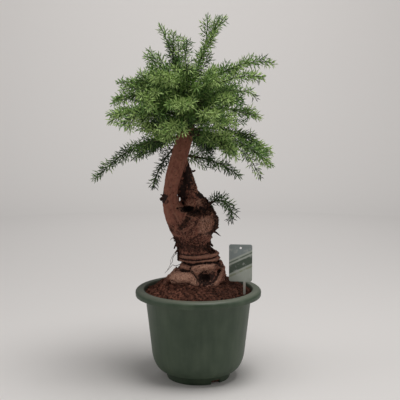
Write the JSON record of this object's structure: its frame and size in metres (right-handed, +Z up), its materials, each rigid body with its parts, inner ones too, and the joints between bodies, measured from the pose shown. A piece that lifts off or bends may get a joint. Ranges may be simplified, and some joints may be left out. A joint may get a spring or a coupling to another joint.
{
  "type": "potted conifer",
  "caption": "Bonsai-style conifer with a gnarled twisted stem and arching needle-clad boughs on all sides, standing in a green plastic nursery pot of compost and marked with a plain care tag.",
  "frame": {"origin": "middle of the pot's flat underside, on the ground", "axes": "+Z up along the stem, -Y to the front of the plant, +X to its right"},
  "size_m": [0.3605, 0.3222, 0.7244],
  "materials": {
    "pot_plastic": "dusty dark green moulded plastic, satin",
    "compost": "reddish brown coir crumbs, rough",
    "tag_card": "pale printed plastic card",
    "bark": "reddish brown bark with dark scales and cracks",
    "twig_bark": "green-brown young bark",
    "needles": "soft green needles"
  },
  "bodies": {
    "root": {"pot": "pot_plastic", "soil": "compost", "care_tag": "tag_card", "trunk": "bark", "bough_leader_right": "twig_bark", "foliage_leader_right": "needles", "bough_leader_left": "twig_bark", "foliage_leader_left": "needles", "bough_high_left": "twig_bark", "foliage_high_left": "needles", "bough_high_back_left": "twig_bark", "foliage_high_back_left": "needles", "bough_upper_left": "twig_bark", "foliage_upper_left": "needles", "bough_left_back": "twig_bark", "foliage_left_back": "needles", "bough_left": "twig_bark", "foliage_left": "needles", "bough_left_front": "twig_bark", "foliage_left_front": "needles", "bough_left_low": "twig_bark", "foliage_left_low": "needles", "foliage_left_back_low": "needles", "bough_high_right": "twig_bark", "foliage_high_right": "needles", "bough_upper_right": "twig_bark", "foliage_upper_right": "needles", "bough_right_back": "twig_bark", "foliage_right_back": "needles", "bough_right": "twig_bark", "foliage_right": "needles", "bough_right_low": "twig_bark", "foliage_right_low": "needles", "bough_right_mid": "twig_bark", "foliage_right_mid": "needles", "foliage_right_back_low": "needles", "foliage_front_left_high": "needles", "foliage_front": "needles", "foliage_front_low": "needles", "foliage_front_right": "needles", "foliage_front_right_high": "needles", "foliage_front_high": "needles", "foliage_front_right_low": "needles", "foliage_front_left_low": "needles", "foliage_front_left": "needles", "foliage_front_right_mid": "needles", "bough_back_high": "twig_bark", "foliage_back_high": "needles", "bough_back_left": "twig_bark", "foliage_back_left": "needles", "bough_back_right": "twig_bark", "foliage_back_right": "needles", "bough_back": "twig_bark", "foliage_back": "needles", "foliage_back_left_low": "needles", "foliage_back_right_low": "needles", "foliage_back_low": "needles", "foliage_shoulder_twig": "needles"}
  },
  "joints": []
}
